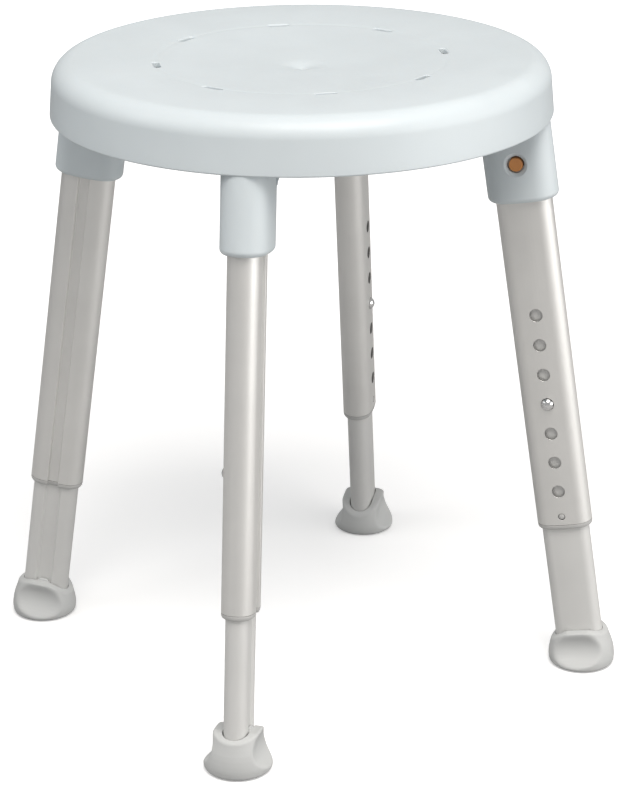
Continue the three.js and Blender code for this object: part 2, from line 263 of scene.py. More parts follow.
def turned_upright(name, profile, segments):
    """A solid turned about the stool's own axis. The profile is closed and holds (radius, z)."""
    rings = []
    for angle in np.arange(segments) * 2 * math.pi / segments:
        rings.append([(r * math.cos(angle), r * math.sin(angle), z) for r, z in profile])
    return loft(name, rings, loop=True)


def strip(name, path, thickness, width, matrix=None):
    """A sheet-metal strip along a path of (y, z) points, with its thickness on the left of the path."""
    left, right = [], []
    for i, point in enumerate(path):
        ahead = Vector(path[min(i + 1, len(path) - 1)]) - Vector(path[max(i - 1, 0)])
        side = Vector((-ahead.y, ahead.x)).normalized() * thickness
        left.append((point[0] + side.x, point[1] + side.y))
        right.append(tuple(point))
    edge = thickness * 0.2
    rings = []
    for (ly, lz), (ry, rz) in zip(left, right):
        inset = Vector((ly - ry, lz - rz)).normalized() * edge
        half = width / 2
        rings.append([
            (-half + edge, ry, rz), (half - edge, ry, rz),
            (half, ry + inset.x, rz + inset.y), (half, ly - inset.x, lz - inset.y),
            (half - edge, ly, lz), (-half + edge, ly, lz),
            (-half, ly - inset.x, lz - inset.y), (-half, ry + inset.x, rz + inset.y),
        ])
    return loft(name, rings, matrix)


def joined(objects):
    """One object from several that don't touch."""
    first = objects[0]
    with bpy.context.temp_override(active_object=first, selected_editable_objects=objects):
        bpy.ops.object.join()
    return first


def combine(obj, other, operation):
    """Applies a boolean with another closed mesh, which is used up."""
    modifier = obj.modifiers.new("combine", "BOOLEAN")
    modifier.object = other
    modifier.operation = operation
    modifier.solver = "MANIFOLD"
    result = bpy.data.meshes.new_from_object(obj.evaluated_get(bpy.context.evaluated_depsgraph_get()))
    obj.modifiers.clear()
    obj.data = result
    bpy.data.objects.remove(other)
    return obj


def clean(obj):
    """Merges the tiny edges that booleans leave, and turns a piece the right way out."""
    work = bmesh.new()
    work.from_mesh(obj.data)
    bmesh.ops.remove_doubles(work, verts=work.verts, dist=TINY)
    if work.calc_volume(signed=True) < 0:
        bmesh.ops.reverse_faces(work, faces=work.faces)
    work.to_mesh(obj.data)
    work.free()


def smooth(obj, sharp_above=32):
    """Shades a cleaned piece smoothly, apart from its real edges."""
    clean(obj)
    obj.data.shade_smooth()
    obj.data.set_sharp_from_angle(angle=math.radians(sharp_above))
    weighted = obj.modifiers.new("weighted_normals", "WEIGHTED_NORMAL")
    weighted.keep_sharp = True
    return obj


# ---------- surfaces from distance fields, for the feet ----------

def blend_max(a, b, width):
    """The larger of two distances, rounded where they are within a width of each other."""
    h = np.clip(0.5 + 0.5 * (a - b) / width, 0, 1)
    return b + (a - b) * h + width * h * (1 - h)


def surface_of(name, field, low, high, step):
    """A closed mesh on the zero surface of a field: one point per crossed cell, one face per crossed edge."""
    axes = [np.arange(low[k], high[k] + step, step) for k in range(3)]
    grid = np.stack(np.meshgrid(*axes, indexing="ij"), -1)
    value = field(grid[..., 0], grid[..., 1], grid[..., 2])
    inside = value < 0
    shape = np.array(inside.shape) - 1
    crossings = np.zeros(tuple(shape) + (3,))
    count = np.zeros(tuple(shape))
    corner = [(i, j, k) for i in (0, 1) for j in (0, 1) for k in (0, 1)]
    edges = []
    for a in corner:
        for b in corner:
            if sum(b) - sum(a) == 1 and all(q >= p for p, q in zip(a, b)):
                edges.append((a, b))
    for a, b in edges:
        at_a = tuple(slice(p, p + n) for p, n in zip(a, shape))
        at_b = tuple(slice(p, p + n) for p, n in zip(b, shape))
        cut = inside[at_a] != inside[at_b]
        share = np.where(cut, value[at_a] / np.where(cut, value[at_a] - value[at_b], 1), 0)[..., None]
        point = np.array(a) + share * (np.array(b) - np.array(a))
        crossings += np.where(cut[..., None], point, 0)
        count += cut
    used = count > 0
    number = np.full(tuple(shape), -1)
    number[used] = np.arange(used.sum())
    cells = np.argwhere(used)
    points = low + (cells + crossings[used] / count[used][:, None]) * step
    faces = []
    for axis in range(3):
        other = [k for k in range(3) if k != axis]
        first = [slice(None)] * 3
        second = [slice(None)] * 3
        first[axis], second[axis] = slice(0, -1), slice(1, None)
        cut = np.argwhere(inside[tuple(first)] != inside[tuple(second)])
        cut = cut[(cut[:, other] > 0).all(1) & (cut[:, other] < shape[other]).all(1)]
        quad = []
        for da, db in ((0, 0), (1, 0), (1, 1), (0, 1)):
            cell = cut.copy()
            cell[:, other[0]] -= da
            cell[:, other[1]] -= db
            quad.append(number[tuple(cell.T)])
        faces += np.stack(quad, -1).tolist()
    points = onto_surface(field, points, step)
    return make_object(name, points.tolist(), faces)


def onto_surface(field, points, step):
    """Moves points along the field's slope until they lie on its zero surface."""
    small = 0.05
    for _ in range(3):
        value = field(*points.T)
        slope = np.zeros_like(points)
        for axis in range(3):
            ahead, behind = points.copy(), points.copy()
            ahead[:, axis] += small
            behind[:, axis] -= small
            slope[:, axis] = (field(*ahead.T) - field(*behind.T)) / (2 * small)
        size = np.maximum((slope ** 2).sum(1), 0.05)
        move = -(value / size)[:, None] * slope
        longest = np.maximum(np.sqrt((move ** 2).sum(1)) / (0.4 * step), 1)
        points = points + move / longest[:, None]
    return points


# ---------- seat ----------

SEAT_TOP = seat_high.z
SKIRT_RADIUS = seat_high.x
TOP_RADIUS = SKIRT_RADIUS - 19
RIM_RADIUS = 17
SKIRT_BOTTOM = SEAT_TOP - 42.5
SKIN = 4
DISH = 8.2
DIMPLE_RADIUS, DIMPLE_DEPTH = 22, 4.2
CHANNEL_RADIUS, CHANNEL_WIDTH, CHANNEL_DEPTH = 113.4, 7, 0.2
SLOTS, SLOT_LENGTH, SLOT_WIDTH, SLOT_LIP = 8, 20, 7.2, 1.0
RIBS, RIB_THICKNESS, RIB_DEPTH = 8, 3, 8
INNER_RING, INNER_RING_BOTTOM = 55, SEAT_TOP - 23
OUTER_RING, OUTER_RING_BOTTOM = 160, SEAT_TOP - 45
SOCKET_WALL, SOCKET_EDGE = 5.7, 4.5
SOCKET_BOTTOM = 398.6
SOCKET_FACE = -(TUBE.short + SOCKET_WALL)
BUTTON_RADIUS = 5.4
BUTTON_STATION = clip_low.z + 2 + BUTTON_RADIUS
rim_centre = (TOP_RADIUS, SEAT_TOP - RIM_RADIUS)


def dish_at(radius):
    share = 1 - (radius / TOP_RADIUS) ** 2
    return SEAT_TOP - DISH * max(share, 0) ** 2.5


def dimple_at(radius):
    """Depth of the funnel in the middle, which the underside follows."""
    return DIMPLE_DEPTH * max(1 - radius / DIMPLE_RADIUS, 0) ** 2


def top_at(radius):
    """Height of the top, with its ring channel and the dimple in the middle."""
    across = abs(radius - CHANNEL_RADIUS) / (CHANNEL_WIDTH / 2)
    channel = CHANNEL_DEPTH * (1 - across ** 2) ** 2 if across < 1 else 0
    return dish_at(radius) - channel - dimple_at(radius)


def make_shell():
    half = CHANNEL_WIDTH / 2
    radii = [0, 1, 2.2, 3.6, 5.2, 7, 9, 11, 13, 15, 17, 20, 24, 29, 35, 42, 50]
    radii += [58, 66, 74, 82, 90, 97, 103, 107]
    radii += [CHANNEL_RADIUS + half * share for share in np.linspace(-1.15, 1.15, 15)]
    radii += [120, 125, 131, 137, 143, 149, 155, 160, 165, 169, 172.5, 175.5]
    skirt_edge = 1.5
    inside = SKIRT_RADIUS - SKIN
    profile = [(r, top_at(r)) for r in radii]
    profile += arc(rim_centre, RIM_RADIUS, 90, 0, 18)
    profile += [(SKIRT_RADIUS - 1.2, SKIRT_BOTTOM + 16), (SKIRT_RADIUS - 0.4, SKIRT_BOTTOM + 7)]
    profile += arc((SKIRT_RADIUS - skirt_edge, SKIRT_BOTTOM + skirt_edge), skirt_edge, 0, -90, 5)
    profile += arc((inside + skirt_edge / 2, SKIRT_BOTTOM + skirt_edge / 2), skirt_edge / 2, -90, -180, 3)
    profile += [(inside - 0.5, SKIRT_BOTTOM + 12)]
    profile += arc(rim_centre, RIM_RADIUS - SKIN, 0, 90, 10)
    under = (168, 155, 140, 122, 104, 84, 62, 40, DIMPLE_RADIUS, 17, 12, 8, 4, 0)
    profile += [(r, dish_at(r) - SKIN - dimple_at(r)) for r in under]
    return turned_upright("seat_visual", profile, 192)


def make_ring_rib(radius, bottom):
    top = dish_at(radius) - SKIN / 2
    half = RIB_THICKNESS / 2
    foot_of_rib = [(radius + half * x, bottom + half * (1 + z)) for x, z in arc((0, 0), 1, 180, 360, 6)]
    root = [(radius + half + 1.4, top), (radius - half - 1.4, top)]
    lower_root = dish_at(radius) - SKIN - 1.4
    profile = foot_of_rib + [(radius + half, lower_root)] + root + [(radius - half, lower_root)]
    return turned_upright("ring_rib", profile, 192)


def make_radial_rib(angle):
    """A straight rib that follows the underside, with a rounded lower edge and fillets along its root."""
    half = RIB_THICKNESS / 2
    bottom = dish_at(INNER_RING) - SKIN - RIB_DEPTH
    rings = []
    for radius in np.linspace(INNER_RING, SKIRT_RADIUS - 0.75 * SKIN, 12):
        under = min(dish_at(radius), rim_height(radius)) - SKIN
        outline_at = [(half * x, bottom + half * (1 + z)) for x, z in arc((0, 0), 1, 180, 360, 6)]
        outline_at += [(half, under - 1.2), (half + 1.2, under + 0.1), (half + 1.2, under + SKIN / 2)]
        outline_at += [(-half - 1.2, under + SKIN / 2), (-half - 1.2, under + 0.1), (-half, under - 1.2)]
        c, s = math.cos(angle), math.sin(angle)
        rings.append([(radius * c - y * s, radius * s + y * c, z) for y, z in outline_at])
    return loft("radial_rib", rings)


def rim_height(radius):
    """Height of the rounded rim's outside at a radius."""
    beyond = max(radius - TOP_RADIUS, 0)
    return SEAT_TOP - RIM_RADIUS + math.sqrt(max(RIM_RADIUS ** 2 - beyond ** 2, 0))


def make_envelope():
    """All that is below the middle of the seat's skin: a boss is trimmed to it."""
    half = SKIN / 2
    wide = SKIRT_RADIUS + 60
    profile = [(0, 0), (wide, 0), (wide, SKIRT_BOTTOM + 1.5), (SKIRT_RADIUS - half - 0.4, SKIRT_BOTTOM + 1.5)]
    profile += arc(rim_centre, RIM_RADIUS - half, 0, 90, 8)
    profile += [(r, dish_at(r) - half) for r in (160, 140, 120, 100, 70, 40, 20, 0)]
    return turned_upright("envelope", profile, 192)


def make_boss(matrix):
    """The oval boss that takes a leg, with a rounded lower edge."""
    rings = []
    for angle in range(0, 91, 10):
        turn = math.radians(angle)
        inset = SOCKET_EDGE * (1 - math.sin(turn))
        height = SOCKET_BOTTOM + SOCKET_EDGE * (1 - math.cos(turn))
        rings.append((inset, height))
    rings += [(0, SOCKET_BOTTOM + 30), (0, SEAT_TOP + 20)]
    long, short = TUBE.long + SOCKET_WALL, TUBE.short + SOCKET_WALL
    outlines = [at_height(crowned_oval(long - inset, short - inset, 28), z) for inset, z in rings]
    return loft("boss", outlines, matrix)


def make_gusset(matrix, side):
    """The concave fillet between a boss's flat side and the lower edge of the outer ring rib."""
    radius = 13
    wall = TUBE.short + SOCKET_WALL
    up = OUTER_RING_BOTTOM + RIB_THICKNESS
    station_up = up / math.cos(SPLAY)
    curve = arc((wall + radius, station_up - radius - 2), radius, 180, 90, 12)
    shape = curve + [(wall + radius, station_up + 1), (wall - 2, station_up + 1), (wall - 2, curve[0][1])]
    middle = OUTER_RING - (FOOT_CIRCLE - math.tan(SPLAY) * (up - radius / 2))
    rings = []
    for x in (-RIB_THICKNESS / 2, RIB_THICKNESS / 2):
        rings.append([(middle + x - y ** 2 / (2 * OUTER_RING), side * y, z) for y, z in shape])
    return loft("gusset", rings, matrix)


def make_cavity(matrix):
    """The space for the tube, with a softened mouth."""
    top = plug_high.z + GAP
    rings = [(1.0, SOCKET_BOTTOM - 6), (1.0, SOCKET_BOTTOM), (0.5, SOCKET_BOTTOM + 0.6)]
    rings += [(0, SOCKET_BOTTOM + 1.6), (0, top)]
    return loft("cavity", [at_height(outline(TUBE, GAP + extra), z) for extra, z in rings], matrix)


def make_button_opening(matrix):
    """The bevelled opening over the release button."""
    hole, bevel, depth = 6.7, 9.6, 2.6
    bend = 0.3
    profile = [(bevel + 2 * bend, SOCKET_FACE - 2), (bevel + bend, SOCKET_FACE - 0.02)]
    profile += [(bevel, SOCKET_FACE + 0.12)]
    profile += [(bevel - bend, SOCKET_FACE + 0.38), (hole + bend, SOCKET_FACE + depth - bend)]
    profile += [(hole + 0.07, SOCKET_FACE + depth), (hole, SOCKET_FACE + depth + bend)]
    profile += [(hole, -TUBE.short + 2)]
    return turned("opening", profile, BUTTON_STATION, 64, matrix)


def make_slot(angle):
    """A drain slot that follows the ring channel, with a rounded lip."""
    surface = dish_at(CHANNEL_RADIUS) - 0.1
    levels = [(SLOT_LIP * 1.6, surface + 1)]
    for step in range(6):
        turn = math.radians(18 * step)
        levels.append((SLOT_LIP * (1 - math.sin(turn)), surface - SLOT_LIP * (1 - math.cos(turn))))
    levels.append((0, surface - SKIN - 3))
    rings = []
    for grow, z in levels:
        ring = []
        for along, across in oval(SLOT_LENGTH / 2 - SLOT_LIP + grow, SLOT_WIDTH / 2 - SLOT_LIP + grow, 12):
            radius, turn = CHANNEL_RADIUS - across, angle + along / CHANNEL_RADIUS
            ring.append((radius * math.cos(turn), radius * math.sin(turn), z))
        rings.append(ring)
    return loft("slot", rings)


def make_seat():
    seat = make_shell()
    combine(seat, make_ring_rib(INNER_RING, INNER_RING_BOTTOM), "UNION")
    combine(seat, make_ring_rib(OUTER_RING, OUTER_RING_BOTTOM), "UNION")
    for i in range(RIBS):
        combine(seat, make_radial_rib(i * 2 * math.pi / RIBS), "UNION")
    bosses = joined([make_boss(LEG[corner]) for corner in CORNERS])
    combine(bosses, make_envelope(), "INTERSECT")
    combine(seat, bosses, "UNION")
    for corner in CORNERS:
        for side in (1, -1):
            combine(seat, make_gusset(LEG[corner], side), "UNION")
    combine(seat, joined([make_cavity(LEG[corner]) for corner in CORNERS]), "DIFFERENCE")
    combine(seat, joined([make_button_opening(LEG[corner]) for corner in CORNERS]), "DIFFERENCE")
    slots = joined([make_slot((i + 0.5) * 2 * math.pi / SLOTS) for i in range(SLOTS)])
    combine(seat, slots, "DIFFERENCE")
    return smooth(seat)


# ---------- pieces of one leg ----------

HOLES, HOLE_PITCH, HOLE_RADIUS = 7, 25, 5.25
NUB_RADIUS, NUB_HOLE_RADIUS = 2.5, 2.9
NUB_STATION = 133.9
BUSH_INSET, BUSH_EDGE = 2, 3.2
HEIGHT_BUTTON_STATION = (button_low.z + button_high.z) / 2
HEIGHT_BUTTON_RADIUS = 4.8
LEAF = 1.2  # thickness of the release clip's leaf
CLIP_SLOT = 12  # depth of the plug's slot for the leaf


def profile_ring(section, grow, z):
    return at_height(outline(section, grow), z)


def hollow(name, section, wall, low, high, edge=0.2):
    """A length of hollow section with its four end edges broken."""
    rings = [
        (0 - edge, low), (0, low + edge), (0, high - edge), (0 - edge, high),
        (edge - wall, high), (-wall, high - edge), (-wall, low + edge), (edge - wall, low),
    ]
    return loft(name, [profile_ring(section, grow, z) for grow, z in rings], loop=True)


def cross_hole(radius, station, surface, through, edge=0.12):
    """A cutter for a round hole in a -Y flat, with its outer edge broken."""
    profile = [(radius + edge, surface - 2), (radius + edge, surface)]
    profile += [(radius, surface + edge), (radius, through)]
    return turned("hole", profile, station, 48)


def make_tube():
    tube = hollow("leg_tube", TUBE, TUBE_WALL, tube_low.z, tube_high.z)
    surface, through = -TUBE.short, -TUBE.short + TUBE_WALL + 1
    cutters = []
    for i in range(HOLES):
        station = HEIGHT_BUTTON_STATION + (i - (HOLES - 1) / 2) * HOLE_PITCH
        cutters.append(cross_hole(HOLE_RADIUS, station, surface, through))
    cutters.append(cross_hole(NUB_HOLE_RADIUS, NUB_STATION, surface, through))
    cutters.append(cross_hole(BUTTON_RADIUS + 0.4, BUTTON_STATION, surface, through))
    return combine(tube, joined(cutters), "DIFFERENCE")


def make_guide_bush():
    """A sleeve inside the tube, with the collar that shows below it and the nub that holds it."""
    low, seam, top = bush_low.z, tube_low.z - GAP, bush_high.z
    sleeve = -TUBE_WALL - GAP
    rings = []
    for angle in (0, 15, 30, 45, 60, 75, 90):
        turn = math.radians(angle)
        inset = BUSH_INSET * (math.sin(turn) - 1)
        rings.append(profile_ring(TUBE, inset, low + BUSH_EDGE * (1 - math.cos(turn))))
    rings += [profile_ring(TUBE, 0, seam - 0.15), profile_ring(TUBE, -0.12, seam)]
    rings += [profile_ring(TUBE, sleeve, seam), profile_ring(TUBE, sleeve, top - 0.5)]
    rings += [profile_ring(TUBE, sleeve - 0.4, top), profile_ring(INNER, GAP, top)]
    rings += [profile_ring(INNER, GAP, low + 0.3), profile_ring(INNER, GAP + 0.1, low)]
    bush = loft("guide_bush", rings, loop=True)
    tip = -TUBE.short - 0.1
    nub = [(0, tip), (1.2, tip + 0.08), (2.0, tip + 0.35), (NUB_RADIUS, tip + 0.9)]
    nub += [(NUB_RADIUS, -INNER.short - 2 * GAP)]
    return combine(bush, turned("nub", nub, NUB_STATION, 32), "UNION")


def make_inner_leg():
    leg = hollow("inner_leg", INNER, INNER_WALL, inner_low.z, inner_high.z)
    through = -INNER.short + INNER_WALL + 1
    hole = cross_hole(HEIGHT_BUTTON_RADIUS + GAP, HEIGHT_BUTTON_STATION, -INNER.short, through)
    return combine(leg, hole, "DIFFERENCE")


def make_tube_plug():
    """Closes the tube's top: a lip over its end, an insert with a slot for the clip, and a pocket above."""
    insert = -TUBE_WALL - GAP
    low, seam, top = plug_low.z, tube_high.z + GAP, plug_high.z
    rings = [(insert - 0.8, low), (insert, low + 1.2), (insert, seam), (0, seam), (0, top - 0.7), (-0.6, top)]
    rings += [(-5, top), (-5.4, top - 9)]
    plug = loft("tube_plug", [profile_ring(TUBE, grow, z) for grow, z in rings])
    front, back = clip_front() - GAP, clip_front() + LEAF + GAP
    half, slot_top = 5.4, plug_low.z + CLIP_SLOT
    corners = [(-half, front), (half, front), (half, back), (-half, back)]
    return combine(plug, loft("slot", [at_height(corners, z) for z in (low - 2, slot_top)]), "DIFFERENCE")


def clip_front():
    """The leaf's front face: just behind the tube's wall."""
    return -TUBE.short + TUBE_WALL + 1.3


def make_release_clip():
    """A springy leaf held in the plug, with the round release button at its lower end."""
    front = clip_front()
    top = plug_low.z + CLIP_SLOT - GAP
    stations = [top, top - 6, top - 12, top - 20, top - 30, top - 40]
    stations += [clip_low.z + 8, clip_low.z + 4, clip_low.z + 1, clip_low.z]
    widths = [10, 10, 10, 8.6, 8, 8.6, 10, 10, 8.4, 6.4]
    edge = 0.3
    rings = []
    for z, width in zip(stations, widths):
        half = width / 2
        rings.append([
            (-half + edge, front, z), (half - edge, front, z),
            (half, front + edge, z), (half, front + LEAF - edge, z),
            (half - edge, front + LEAF, z), (-half + edge, front + LEAF, z),
            (-half, front + LEAF - edge, z), (-half, front + edge, z),
        ])
    leaf = loft("release_clip", rings)
    tip = clip_low.y
    face = [(0, tip + 0.3), (2.6, tip + 0.26), (3.9, tip + 0.16), (4.4, tip + 0.03), (4.75, tip)]
    face += [(5.15, tip + 0.12)]
    face += [(BUTTON_RADIUS, tip + 0.45), (BUTTON_RADIUS, front + LEAF), (0, front + LEAF)]
    return combine(leaf, turned("button", face, BUTTON_STATION, 64), "UNION")


def make_glide():
    """A slider on top of the inner leg that keeps it centred in the tube."""
    insert, head = -INNER_WALL - GAP, -TUBE_WALL - GAP
    low, seam, top = glide_low.z, inner_high.z + GAP, glide_high.z
    outer = [profile_ring(INNER, insert - 0.6, low), profile_ring(INNER, insert, low + 1)]
    outer += [profile_ring(INNER, insert, seam)]
    outer += [profile_ring(TUBE, head - 0.5, seam), profile_ring(TUBE, head, seam + 0.6)]
    outer += [profile_ring(TUBE, head, top - 0.6), profile_ring(TUBE, head - 0.5, top)]
    pocket = [profile_ring(TUBE, head - 3, top), profile_ring(TUBE, head - 3.4, top - 3.5)]
    return loft("leg_glide", outer + pocket)


def make_button_spring():
    """A bent strip: one arm carries the height button, the other bears on the opposite wall."""
    thickness = 0.8
    front, back = spring_low.y, spring_high.y
    radius = (back - front) / 2
    bend = spring_high.z - radius
    low, short_end = spring_low.z, bend - 16
    path = [(front, z) for z in np.linspace(low, bend, 14)[:-1]]
    path += arc(((front + back) / 2, bend), radius, 180, 0, 16)
    path += [(back, z) for z in np.linspace(bend, short_end, 6)[1:]]
    return strip("button_spring", path, -thickness, 10)


def make_height_button():
    """The domed steel button, with the flange that keeps it in the inner leg."""
    radius, flange_radius, flange = HEIGHT_BUTTON_RADIUS, 6.2, 1.4
    tip, back = button_low.y, button_high.y
    shoulder = back - flange
    sphere = 5.6
    dome = []
    for share in (0, 0.12, 0.25, 0.4, 0.55, 0.68, 0.8, 0.9, 0.96, 1):
        r = radius * share
        dome.append((r, tip + sphere - math.sqrt(sphere ** 2 - r ** 2)))
    profile = dome + [(radius, shoulder), (flange_radius - 0.3, shoulder), (flange_radius, shoulder + 0.3)]
    profile += [(flange_radius, back - 0.3), (flange_radius - 0.3, back), (0, back)]
    return turned("height_button", profile, HEIGHT_BUTTON_STATION, 64)


# ---------- foot ----------

BELL = np.array([(23.6, 0), (24.6, 0.4), (25.8, 1.3), (26.6, 3), (27, 6), (27, 8.5), (26.6, 12), (25.8, 16),
                 (24.6, 20), (22.9, 24), (21.0, 28), (19, 32), (16.5, 37)])
FLANK = np.array([(29, 2.8), (26.8, 4.5), (24.2, 6.2), (21.8, 8.2), (19.8, 10.5), (18.4, 13.2), (17.7, 16.5),
                  (17.5, 21), (17.4, 30), (17.2, 40)])
FOOT_INSET = 1.5
COLLAR_LONG, COLLAR_SHORT = 23.3, 17.2
SCOOP_STATION, SCOOP_LONG, SCOOP_HIGH, SCOOP_OUT, SCOOP_DEPTH = 20.2, 37, 12.2, 10, 2.3
KEY_HALF_WIDTH, KEY_HALF_THICKNESS, KEY_RISE = 4.2, 1.3, 2.2  # rib that fills the inner leg's groove


def section_distance(section, x, y, grow):
    """Distance from a grooved oval's outline, negative inside."""
    middle = section.long - section.short
    body = np.hypot(np.maximum(np.abs(x) - middle, 0), y) - section.short - grow
    half = section.groove_width / 2 - grow - section.groove_slope / 2
    floor = section.short - section.groove_depth + grow
    groove = np.maximum(np.abs(x) - half, floor - y)
    return np.maximum(body, -groove)


def foot_field(x, y, z):
    """Distance-like field of a foot in the leg's frame, negative inside."""
    c, s = math.cos(SPLAY), math.sin(SPLAY)
    base_x = c * x - s * z + FOOT_INSET
    base_z = s * x + c * z
    around = np.hypot(base_x, y)
    bell = (around - np.interp(base_z, BELL[:, 1], BELL[:, 0])) * 0.92
    flank = (np.abs(y) - np.interp(z, FLANK[:, 1], FLANK[:, 0])) * 0.8
    body = blend_max(bell, flank, 2.2)
    middle = COLLAR_LONG - COLLAR_SHORT
    collar = np.hypot(np.maximum(np.abs(x) - middle, 0), y) - COLLAR_SHORT
    collar = np.maximum(collar, 12 - z)
    body = -blend_max(-body, -collar, 2.5)
    scoop_y = (np.abs(y) - 17.5 - SCOOP_OUT + SCOOP_DEPTH) / SCOOP_OUT
    reach = np.sqrt((x / SCOOP_LONG) ** 2 + scoop_y ** 2 + ((z - SCOOP_STATION) / SCOOP_HIGH) ** 2)
    body = blend_max(body, (1 - reach) * SCOOP_OUT, 1.8)
    outward = np.clip((x - 9) / 14, 0, 1.2)
    inward = np.clip((-x - 8) / 14, 0, 1.2)
    rim = foot_high.z - 5 * outward ** 1.3 - 7.5 * inward ** 1.3
    body = blend_max(body, (z - rim) * 0.93, 1.4)
    body = np.maximum(body, -base_z)
    key_y = INNER.short - INNER.groove_depth + GAP + KEY_HALF_THICKNESS
    key_top = foot_high.z + KEY_RISE - KEY_HALF_THICKNESS
    key_across = np.maximum(np.abs(x) - KEY_HALF_WIDTH + KEY_HALF_THICKNESS, 0)
    key = np.sqrt(key_across ** 2 + (y - key_y) ** 2 + np.maximum(z - key_top, 0) ** 2) - KEY_HALF_THICKNESS
    key = np.maximum(key, foot_high.z - 8 - z)
    body = -blend_max(-body, -key, 0.8)
    pocket = np.maximum(section_distance(INNER, x, y, GAP), inner_low.z - GAP - z)
    body = blend_max(body, -pocket, 0.7)
    ring = np.abs(np.mod(around - 4.5, 5) - 2.5) - 0.9
    tread = np.maximum(np.maximum(ring, base_z - 0.9), np.maximum(around - 21, 4.5 - around))
    return blend_max(body, -tread, 0.3)


def make_foot():
    low = np.array((foot_low.x - 2, foot_low.y - 2, foot_low.z - 2))
    high = np.array((foot_high.x + 2, foot_high.y + 2, foot_high.z + KEY_RISE + 2))
    return surface_of("foot", foot_field, low, high, 0.75)


# ---------- materials ----------

HOLE_SHADE_START = 0.3  # how deep behind a flat the painted shade in the holes begins, just past the broken edge
HOLE_SHADE_HALF_WIDTH = 5.7  # how far to the sides of the flat's middle it reaches, just past the largest hole
HOLE_SHADE_TONE = 0.42  # how dark the painted shade in the holes is, as a share of the anodised colour


class Nodes:
    """A material's node tree, with short calls for the nodes that the finishes share."""

    def __init__(self, name):
        self.material = bpy.data.materials.new(name)
        self.material.use_nodes = True
        self.tree = self.material.node_tree
        self.shader = self.tree.nodes["Principled BSDF"]
        self.place = self.tree.nodes.new("ShaderNodeTexCoord").outputs["Object"]

    def link(self, output, node, socket):
        self.tree.links.new(output, node.inputs[socket])

    def noise(self, scale, detail=2.0, stretch=(1, 1, 1), roughness=0.5):
        mapping = self.tree.nodes.new("ShaderNodeMapping")
        mapping.inputs["Scale"].default_value = stretch
        self.link(self.place, mapping, "Vector")
        texture = self.tree.nodes.new("ShaderNodeTexNoise")
        texture.inputs["Scale"].default_value = scale
        texture.inputs["Detail"].default_value = detail
        texture.inputs["Roughness"].default_value = roughness
        self.link(mapping.outputs["Vector"], texture, "Vector")
        return texture.outputs["Fac"]

    def between(self, value, low, high, low_at=0.35, high_at=0.65):
        """A number that runs from low to high as a noise value does."""
        node = self.tree.nodes.new("ShaderNodeMapRange")
        node.inputs["From Min"].default_value = low_at
        node.inputs["From Max"].default_value = high_at
        node.inputs["To Min"].default_value = low
        node.inputs["To Max"].default_value = high
        self.link(value, node, "Value")
        return node.outputs["Result"]

    def mix(self, value, first, second, low_at=0.3, high_at=0.7):
        """A colour that runs from the first to the second as a noise value does."""
        node = self.tree.nodes.new("ShaderNodeMix")
        node.data_type = "RGBA"
        self.link(self.between(value, 0, 1, low_at, high_at), node, "Factor")
        node.inputs["A"].default_value = (*first, 1)
        node.inputs["B"].default_value = (*second, 1)
        return node.outputs["Result"]

    def math(self, operation, first, second):
        """A sum done on two values, each of them a socket or a number."""
        node = self.tree.nodes.new("ShaderNodeMath")
        node.operation = operation
        for i, value in enumerate((first, second)):
            if isinstance(value, (int, float)):
                node.inputs[i].default_value = value
            else:
                self.link(value, node, i)
        return node.outputs["Value"]

    def shade_behind_flat(self, section):
        """1 on what lies behind the -Y flat of a section, such as the walls of its holes, and 0 elsewhere:
        the mask of the painted shade.
        """
        parts = self.tree.nodes.new("ShaderNodeSeparateXYZ")
        self.link(self.place, parts, "Vector")
        on_flat = self.math("LESS_THAN", self.math("ABSOLUTE", parts.outputs["X"], 0), HOLE_SHADE_HALF_WIDTH * MM)
        front = self.math("LESS_THAN", parts.outputs["Y"], 0)
        sunk = self.math("GREATER_THAN", parts.outputs["Y"], (HOLE_SHADE_START - section.short) * MM)
        return self.math("MULTIPLY", self.math("MULTIPLY", on_flat, front), sunk)

    def darker(self, color, where, factor):
        """A colour that is scaled down where a value is 1."""
        node = self.tree.nodes.new("ShaderNodeMix")
        node.data_type = "RGBA"
        node.blend_type = "MULTIPLY"
        self.link(where, node, "Factor")
        self.link(color, node, "A")
        node.inputs["B"].default_value = (factor, factor, factor, 1)
        return node.outputs["Result"]

    def bump(self, value, strength, distance, under=None):
        node = self.tree.nodes.new("ShaderNodeBump")
        node.inputs["Strength"].default_value = strength
        node.inputs["Distance"].default_value = distance
        self.link(value, node, "Height")
        if under:
            self.link(under, node, "Normal")
        return node.outputs["Normal"]


def tone(color, factor):
    return tuple(channel * factor for channel in color)


def moulded(name, color, roughness, grain=2600, relief=0.00003, subsurface=0.0, spread=0.03):
    """Moulded plastic or rubber: a fine spark-eroded grain, slow flow clouds and slightly uneven gloss."""
    n = Nodes(name)
    clouds = n.noise(9, 3)
    grain_noise = n.noise(grain, 3, roughness=0.6)
    n.link(n.mix(clouds, tone(color, 1 - spread), tone(color, 1 + spread)), n.shader, "Base Color")
    n.link(n.between(n.noise(40, 4), roughness - 0.05, roughness + 0.05), n.shader, "Roughness")
    ripple = n.bump(n.noise(55, 2), 0.12, 0.0006)
    n.link(n.bump(grain_noise, 0.35, relief, under=ripple), n.shader, "Normal")
    n.shader.inputs["Subsurface Weight"].default_value = subsurface
    n.shader.inputs["Subsurface Radius"].default_value = (0.004, 0.005, 0.006)
    return n.material


